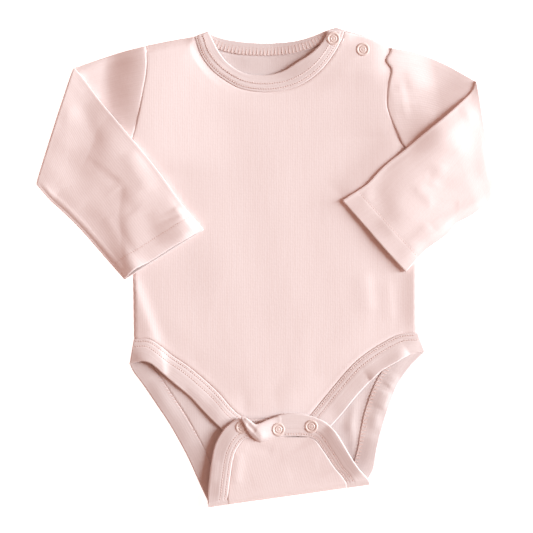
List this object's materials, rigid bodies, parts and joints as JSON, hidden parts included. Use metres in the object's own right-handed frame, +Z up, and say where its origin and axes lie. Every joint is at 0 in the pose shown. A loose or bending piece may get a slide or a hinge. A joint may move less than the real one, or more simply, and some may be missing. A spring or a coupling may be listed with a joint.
{
  "type": "baby onesie",
  "caption": "Long-sleeved baby bodysuit in pale pink ribbed cotton knit, laid flat, sleeves folded back over the front, shoulder and crotch closed with ring snaps.",
  "frame": {"origin": "centre of the laid garment's outline, on the surface that it lies on", "axes": "+X towards the wearer's left, +Y towards the neck, +Z up out of the front"},
  "size_m": [0.3302, 0.345, 0.009],
  "materials": {
    "knit": "fine ribbed cotton knit, matt",
    "binding": "cotton knit binding with twin-needle stitching, matt",
    "snap": "satin enamelled ring snap"
  },
  "bodies": {
    "root": {"back_panel": "knit", "front_panel": "knit", "sleeve_right": "knit", "sleeve_left": "knit", "neck_binding_front": "binding", "neck_binding_back": "binding", "leg_binding_front": "binding", "leg_binding_back": "binding", "snap_shoulder_neck": "snap", "snap_shoulder_arm": "snap", "snap_crotch_right": "snap", "snap_crotch_middle": "snap", "snap_crotch_left": "snap"}
  },
  "joints": []
}
